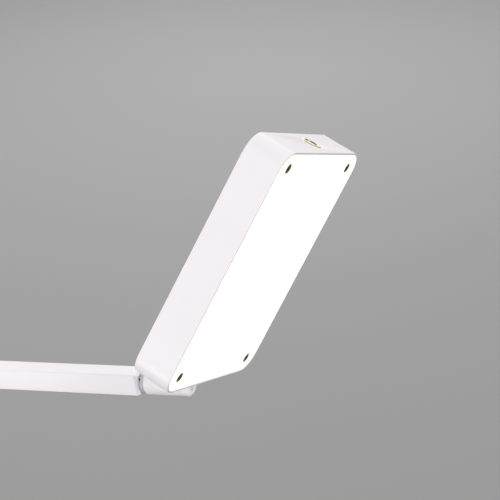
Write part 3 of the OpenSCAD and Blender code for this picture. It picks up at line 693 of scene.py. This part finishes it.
def package_tree():
    """A square tray with a round lens of phosphor, on every point."""
    tree, given = new_tree("light_package", Side=0.0, Height=0.0, Direction=Vector())
    side, height = given["Side"], given["Height"]
    size = add(tree, "ShaderNodeCombineXYZ", {"X": side, "Y": side, "Z": height})
    tray = add(tree, "GeometryNodeMeshCube", {"Size": size})
    half = add(tree, "ShaderNodeMath", {0: height, 1: -0.5}, operation="MULTIPLY")
    lift = add(tree, "ShaderNodeCombineXYZ", {"Z": half})
    tray = add(tree, "GeometryNodeTransform", {"Geometry": tray, "Translation": lift})
    tray = add(tree, "GeometryNodeSetMaterial", {"Geometry": tray, "Material": ceramic})
    radius = add(tree, "ShaderNodeMath", {0: side, 1: LENS_OF_SIDE}, operation="MULTIPLY")
    proud = add(tree, "ShaderNodeMath", {0: height, 1: LENS_OF_HEIGHT}, operation="MULTIPLY")
    lens = {"Geometry": bar(tree, radius, half, proud, 12), "Material": phosphor}
    lens = add(tree, "GeometryNodeSetMaterial", lens)
    both = add(tree, "GeometryNodeJoinGeometry", {0: tray})
    tree.links.new(lens.outputs[0], both.inputs[0])
    placed = set_on_points(tree, given["Geometry"], both, given["Direction"])
    real = add(tree, "GeometryNodeRealizeInstances", {"Geometry": placed})
    add(tree, "NodeGroupOutput", {0: real})
    return tree


package_seats = seats("light_packages", OUT_OF_FACE)
values = {"Side": 3.5 * MM, "Height": package_seats[0][2], "Direction": OUT_OF_FACE}
places = [top for top, *_ in package_seats]
print("light packages:", len(places))
head_set = ("head", "light_packages", ["light_packages"], [ceramic, phosphor])
grow("packages", package_tree(), places, values, *head_set)

# %% [markdown]
# The button is turned from brass bar and lacquered to a cream colour: a ring that stands a little
# proud of the head, and a cap with a shallow pan for the fingertip. The ring's outer chamfer and the
# wall of the pan get two darker brass tones, which are painted shade: a dark line round the ring's
# edge and the shade inside the pan. Turned parts are a profile spun about an axis, so each is a
# short list of radius, height and finish, in millimetres, from the inside round to the outside.


# %% Turned parts
def turn_on_axis(
    name, profile_mm, place, materials, body, nodes, finish_slot, steps=96, closed=True
):
    """Spins a profile of (radius, height, material) about the x axis of a ruler."""
    mesh = bmesh.new()
    rings = []
    for radius, height, *_ in profile_mm:
        count = steps if radius > 0 else 1
        turns = [2 * math.pi * step / count for step in range(count)]
        points = [(height, radius * math.cos(turn), radius * math.sin(turn)) for turn in turns]
        rings.append([mesh.verts.new(place @ (Vector(point) * MM)) for point in points])
    followers = rings[1:] + rings[:1] if closed else rings[1:]
    for (*_, material), low, high in zip(profile_mm, rings, followers):
        for step in range(steps):
            after = (step + 1) % steps
            corners = [low[step % len(low)], low[after % len(low)]]
            corners += [high[after % len(high)], high[step % len(high)]]
            corners = list(dict.fromkeys(corners))
            if len(corners) > 2:
                mesh.faces.new(corners).material_index = material
    bmesh.ops.recalc_face_normals(mesh, faces=mesh.faces)
    piece = new_piece(name, mesh, materials)
    piece.data.shade_smooth()
    piece.data.set_sharp_from_angle(angle=ROUND)
    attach(piece, body)
    if nodes:
        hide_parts(*nodes)
    print(name, "faces:", len(piece.data.polygons))
    return piece


# %% Button
button_ruler = head_ruler @ Matrix.Translation((head_high.x, 0, 0))
brasses = [lacquered_brass, brass_painted_pan_shade, brass_painted_rim_shade]

# The ring's outer chamfer takes the third material, the painted shade round the ring's edge.
ring_profile = [(4.4, -8, 0), (4.9, -8, 0), (4.9, -0.8, 0), (6, -0.8, 0), (6, 0.3, 2)]
ring_profile += [(5.6, 0.68, 0), (5.45, 0.72, 0), (4.55, 0.72, 0), (4.4, 0.6, 0)]
ring_parts = ("head", ["button_bezel"], "brass_button")
turn_on_axis("button_ring", ring_profile, button_ruler, brasses, *ring_parts)

# The wall of the pan takes the second material, the painted shade inside the pan.
cap_profile = [(0, -9.2, 0), (1.2, -9.2, 0), (1.2, -6.5, 0), (4.1, -6.5, 0), (4.1, 0.6, 0)]
cap_profile += [(4.0, 0.7, 0), (3.75, 0.7, 1), (3.45, 0, 0), (3.3, -0.08, 0), (0, -0.1, 0)]
cap_parts = ("button", ["button_cap"], "brass_button")
turn_on_axis("button_middle", cap_profile, button_ruler, brasses, *cap_parts, closed=False)

# %% [markdown]
# The barrel is turned bar with a slot sawn into its free end for the head's lug. The slot is sawn
# after painting, so its walls are bare; their grey is also painted shade, which darkens the notch.
# The barrel turns on the arm between two plastic washers, the thick one next to the arm smoke grey
# and the thin one lighter, with a bright collar between them. The thick washer's darker grey is
# partly its own and partly painted shade of the gap next to the arm. All of it keeps its place in the
# model and gets its small rounds.

# %% Barrel, collar, washers and lug
SLOT_HALF, OUTER_FACE = 1.6 * MM, 1 * MM
ACROSS_SLOT = 0.5
barrel_end = measured("swivel_barrel", barrel_ruler)[1].x
collar_low, collar_high = measured("swivel_collar", barrel_ruler)
collar_middle = (collar_low.x + collar_high.x) / 2


def washer_finish(face):
    """0 for the washer next to the arm, 1 for the one next to the barrel."""
    place = barrel_ruler.inverted() @ face.calc_center_median()
    return 1 if place.x > collar_middle else 0


def slot_finish(face):
    """1 for the walls and the floor of the barrel's slot, bare metal that also paints its shade."""
    place = barrel_ruler.inverted() @ face.calc_center_median()
    facing = barrel_ruler.to_3x3().inverted() @ face.normal
    in_slot = abs(place.y) < SLOT_HALF and place.x < barrel_end - OUTER_FACE
    return 1 if in_slot and abs(facing.z) < ACROSS_SLOT else 0


barrel_coats = [white_coat, lilac_aluminium]
soften("barrel", "swivel_barrel", barrel_coats, 0.2, slot_finish)
soften("collar", "swivel_collar", [lilac_aluminium], 0.15)
nylons = [smoke_nylon_gap_shade, grey_nylon]
soften("swivel_washers", "slip_washers", nylons, 0.1, washer_finish)
soften("head_lug", "hinge_tongue", [white_coat], 0.15)
print("collar, mm wide:", round((collar_high.x - collar_low.x) / MM, 2))

# %% [markdown]
# The photograph has a dark point on the thick washer, a point of shade. It is read as a small steel
# pin, set in from outside, that keeps the washer from turning with the barrel, and the pin's black
# finish paints that shade. It stays with the arm, and stands a hair proud, so that it catches the eye
# from the side as it does there.

# %% Stop pin of the thick washer
PIN_TURN = math.radians(165)
PIN_FROM_ARM = 0.7 * MM
washer_low, washer_high = measured("slip_washers", barrel_ruler)
outward = Vector((0, math.cos(PIN_TURN), math.sin(PIN_TURN)))
pin_top = Vector((washer_low.x + PIN_FROM_ARM, 0, 0)) + outward * washer_high.z
to_world = barrel_ruler.to_3x3()
stop_ruler = ruler(barrel_ruler @ pin_top, to_world @ outward, to_world @ Vector((1, 0, 0)))
stop_profile = [(0, -2.2, 0), (0.6, -2.2, 0), (0.6, 0.05, 0), (0.5, 0.12, 0), (0, 0.14, 0)]
stop_parts = (stop_ruler, [black_steel], "upper_arm", [], "steel_hardware")
turn_on_axis("washer_stop_pin_painting_shade", stop_profile, *stop_parts, steps=24, closed=False)

# %% [markdown]
# The arms are drawn square tube. Such a tube is one profile moved along a line, and so is its tree: a
# square with filleted corners goes along the path, a smaller one is cut out of it, and a short drill
# on every point opens the holes for the grub screws. The rounds of the corners catch the ridge of
# light that runs along the arm in the photograph.

# %% A tree for square tube
PAST_THE_END = 2 * MM
BORE_OF_CORNER = 0.3


def sweep(tree, start, end, side, corner):
    """A solid square bar with filleted corners, from start to end."""
    line = add(tree, "GeometryNodeCurvePrimitiveLine", {"Start": start, "End": end})
    line = add(tree, "GeometryNodeSetCurveNormal", {"Curve": line}, mode="Z_UP")
    square = {"Width": side, "Height": side}
    square = add(tree, "GeometryNodeCurvePrimitiveQuadrilateral", square)
    fillet = {"Curve": square, "Radius": corner, "Count": 8, "Limit Radius": True}
    fillet = add(tree, "GeometryNodeFilletCurve", fillet, mode="POLY")
    swept = {"Curve": line, "Profile Curve": fillet, "Fill Caps": True}
    return add(tree, "GeometryNodeCurveToMesh", swept)


def bore_of(tree, given):
    """The room inside a tube, a little past both ends, and twice the wall that it leaves."""
    start, end, corner = given["Start"], given["End"], given["Corner"]
    path = add(tree, "ShaderNodeVectorMath", {0: end, 1: start}, operation="SUBTRACT")
    along = add(tree, "ShaderNodeVectorMath", {0: path}, operation="NORMALIZE")
    past = {0: along, "Scale": PAST_THE_END}
    past = add(tree, "ShaderNodeVectorMath", past, operation="SCALE")
    start = add(tree, "ShaderNodeVectorMath", {0: start, 1: past}, operation="SUBTRACT")
    end = add(tree, "ShaderNodeVectorMath", {0: end, 1: past}, operation="ADD")
    walls = add(tree, "ShaderNodeMath", {0: given["Wall"], 1: 2}, operation="MULTIPLY")
    side = add(tree, "ShaderNodeMath", {0: given["Side"], 1: walls}, operation="SUBTRACT")
    corner = add(tree, "ShaderNodeMath", {0: corner, 1: BORE_OF_CORNER}, operation="MULTIPLY")
    return sweep(tree, start, end, side, corner), walls


def tube_tree(name, material):
    """A square tube from Start to End, with a hole at every point."""
    sizes = {"Start": Vector(), "End": Vector(), "Side": 0.0, "Wall": 0.0, "Corner": 0.0}
    sizes |= {"Hole radius": 0.0, "Hole direction": Vector()}
    tree, given = new_tree(name, **sizes)
    outside = sweep(tree, given["Start"], given["End"], given["Side"], given["Corner"])
    bore, walls = bore_of(tree, given)
    hollow = {"Mesh 1": outside, "Mesh 2": bore}
    hollow = add(tree, "GeometryNodeMeshBoolean", hollow, operation="DIFFERENCE")
    depth = add(tree, "ShaderNodeMath", {0: walls, 1: -1}, operation="MULTIPLY")
    drill = bar(tree, given["Hole radius"], depth, given["Wall"], 24)
    drills = set_on_points(tree, given["Geometry"], drill, given["Hole direction"])
    drills = add(tree, "GeometryNodeRealizeInstances", {"Geometry": drills})
    drilled = {"Mesh 1": hollow, "Mesh 2": drills}
    drilled = add(tree, "GeometryNodeMeshBoolean", drilled, operation="DIFFERENCE")
    finish_tree(tree, drilled, material)
    return tree


square_tube = tube_tree("square_tube", white_coat)
steel_screw = screw_tree("steel_screw", black_steel)
print("nodes in the tube's tree:", len(square_tube.nodes))

# %% [markdown]
# Each arm then needs only its two ends, its side and its holes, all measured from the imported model.
# The grub screws that hold the plugs sit flush in the underside, where a hand doesn't find them.


# %% Arms and their grub screws
def make_arm(name, node, screw_node, place):
    """A swept tube in place of an arm's tube, and the grub screws in its underside."""
    low, high = measured(node, place)
    middle = (low.y + high.y) / 2
    start, end = (place @ Vector((x, middle, 0)) for x in (low.x, high.x))
    underside = place.to_3x3() @ Vector((0, 0, -1))
    holes = [top for top, *_ in seats(screw_node, underside)]
    values = {"Start": start, "End": end, "Side": high.z - low.z, "Wall": 1 * MM}
    values |= {"Corner": 1.1 * MM, "Hole radius": 1.25 * MM, "Hole direction": underside}
    tube_set = (cad_nodes[node]["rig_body"], "painted_aluminium", [node], [white_coat])
    tube = grow(name, square_tube, holes, values, *tube_set)
    tube.data.shade_smooth()
    tube.data.set_sharp_from_angle(angle=ROUND)
    sizes = {"Head height": 0.6, "Chamfer": 0.2, "Shank radius": 1.2}
    sizes |= {"Socket radius": 0.7, "Socket depth": 1.1}
    screw_set = (screw_node, underside, sizes, "steel_hardware", black_steel)
    screws(name + "_grub_screws", steel_screw, *screw_set)
    print(name, "side, mm:", round((high.z - low.z) / MM, 2))


base_hinge_place = joint_ruler("lower_arm_tilt")[0]
elbow_place = joint_ruler("elbow_fold")[0]
sideways = Vector((0, 1, 0))
lower_ruler = ruler(base_hinge_place, elbow_place - base_hinge_place, sideways)
upper_ruler = ruler(elbow_place, joint_ruler("head_turn")[1], sideways)
make_arm("upper_arm", "upper_arm_tube", "upper_plug_screws", upper_ruler)
make_arm("lower_arm", "lower_arm_tube", "lower_plug_screws", lower_ruler)

# %% [markdown]
# The plugs close the tubes. They are die cast and tumbled before painting, which leaves a slightly
# wider round than sawing does. The screw caps of the elbow and the base hinge are turned and plated.

# %% Plugs, eyes and caps
for name, node in {
    "arm_tip": "upper_arm_tip_plug",
    "upper_eye": "upper_arm_eye_plug",
    "elbow_eye": "lower_arm_eye_plug",
    "foot_eye": "lower_arm_foot_plug",
}.items():
    soften(name, node, [white_coat], 0.2)
for name, node in {
    "elbow_cap": "elbow_bolt",
    "elbow_cap_nut": "elbow_nut",
    "hinge_cap": "base_hinge_pin",
    "hinge_cap_nut": "base_hinge_cap",
}.items():
    soften(name, node, [steel], 0.15)

# %% [markdown]
# The foot is a spun steel cover over a cast iron disc, with the turret on top. It is outside the
# photograph, and plain, as such feet are. Its coat is a little greyer and duller than the head's,
# because a wide flat top takes more of the room's light than a slim arm does.

# %% Turret, base cover and inlet
soften("turret_body", "turret", [white_coat], 0.4)
soften("base_shell", "base_cover", [white_steel_coat], 0.3)
soften("inlet", "power_inlet", [abs_plastic], 0.15)

# %% [markdown]
# Every solid of the model gets the finish of what it is made of. Most are inside or small, and their
# shape is right as it is, so they keep their own mesh. What isn't listed is zinc plated steel.

# %% Finishes of the solids
finishes = [
    (opal, "diffuser_plate"),
    (bronze, "diffuser_screws"),
    (brass, "button_bezel button_nut button_cap"),
    (bare_aluminium, "light_board"),
    (phosphor, "light_packages"),
    (green_mask, "driver_board"),
    (jacket, "head_lead upper_arm_lead lower_arm_lead turret_lead"),
    (abs_plastic, "button_switch power_inlet"),
    (nylon, "tilt_washers slip_washers elbow_washer base_hinge_washers"),
    (lilac_aluminium, "swivel_collar"),
    (iron, "base_weight"),
    (rubber, "base_pad"),
    (white_steel_coat, "base_cover"),
    (white_coat, "head_housing hinge_tongue swivel_barrel turret upper_arm_tip_plug"),
    (white_coat, "upper_arm_tube upper_arm_eye_plug"),
    (white_coat, "lower_arm_eye_plug lower_arm_tube lower_arm_foot_plug"),
]
material_of = {name: made for made, names in finishes for name in names.split()}
for name, node in cad_nodes.items():
    node.data.materials.clear()
    node.data.materials.append(material_of.get(name, steel))
print("finishes given:", len(cad_nodes))

# %% [markdown]
# The room is a grey sweep of paper in even light. The world is bright on all sides, as in a white
# studio, and five soft lamps only lean it: the strongest from the right, a weaker one from the left,
# a faint one from the front, one low down that opens the underside, and one from behind and above. A
# sixth lights the paper behind the lamp, so the background falls off from the top as in the
# photograph. Their powers were found by rendering each lamp alone and solving for the tones of the
# photograph. The camera doesn't see the lamps themselves.


# %% Lamps
def softbox(name, place, aim, side, power):
    """A square area lamp that looks at aim. Its power is in watts."""
    data = bpy.data.lights.new(name, "AREA")
    data.shape = "SQUARE"
    data.size = side
    data.energy = power
    lamp = bpy.data.objects.new(name, data)
    lamp.location = place
    lamp.rotation_euler = (Vector(aim) - Vector(place)).to_track_quat("-Z", "Y").to_euler()
    lamp.visible_camera = False
    bpy.context.scene.collection.objects.link(lamp)
    return lamp


HEAD_MIDDLE = (0.2, 0.04, 0.42)
lamps = [
    softbox("key_softbox", (-0.7, -1.3, 1.5), HEAD_MIDDLE, 1.2, 2.4),
    softbox("right_softbox", (1.6, -0.6, 1.0), HEAD_MIDDLE, 1.0, 16.6),
    softbox("left_softbox", (-1.5, -0.5, 0.7), HEAD_MIDDLE, 1.0, 7.6),
    softbox("low_softbox", (-0.25, -0.7, 0.02), (0.05, -0.35, 2.0), 0.8, 11.6),
    softbox("rear_softbox", (-0.6, 0.9, 1.6), HEAD_MIDDLE, 1.0, 7.4),
    softbox("backdrop_softbox", (-0.5, 1.9, 1.3), (-0.5, 1.95, 0), 1.0, 16.4),
]
print("lamps, W:", round(sum(lamp.data.energy for lamp in lamps), 1))

# %% [markdown]
# The floor is one wide sheet of grey paper, with a tone that hardly wanders. The world stays white,
# so its light has no colour of its own, and its strength sets how bright the shadows are.

# %% World and floor
SKY_STRENGTH = 0.575
REACH = 6.0

world = bpy.data.worlds.new("studio")
world.use_nodes = True
world.node_tree.nodes.clear()
sky = {"Color": linear("#FFFFFF"), "Strength": SKY_STRENGTH}
sky = add(world.node_tree, "ShaderNodeBackground", sky)
add(world.node_tree, "ShaderNodeOutputWorld", {"Surface": sky})
bpy.context.scene.world = world

paper, tree, surface, place = new_material("grey_paper", Roughness=0.9, IOR=1.45)
mottle(tree, surface["Base Color"], blobs(place, 400), "#8E8E8E", "#8C8C8C")
floor_mesh = bpy.data.meshes.new("paper_sweep")
corners = [(-REACH, -REACH, 0), (REACH, -REACH, 0), (REACH, REACH, 0), (-REACH, REACH, 0)]
floor_mesh.from_pydata(corners, [], [(0, 1, 2, 3)])
floor_mesh.materials.append(paper)
floor = bpy.data.objects.new("paper_sweep", floor_mesh)
bpy.context.scene.collection.objects.link(floor)
print("floor, m wide:", 2 * REACH)
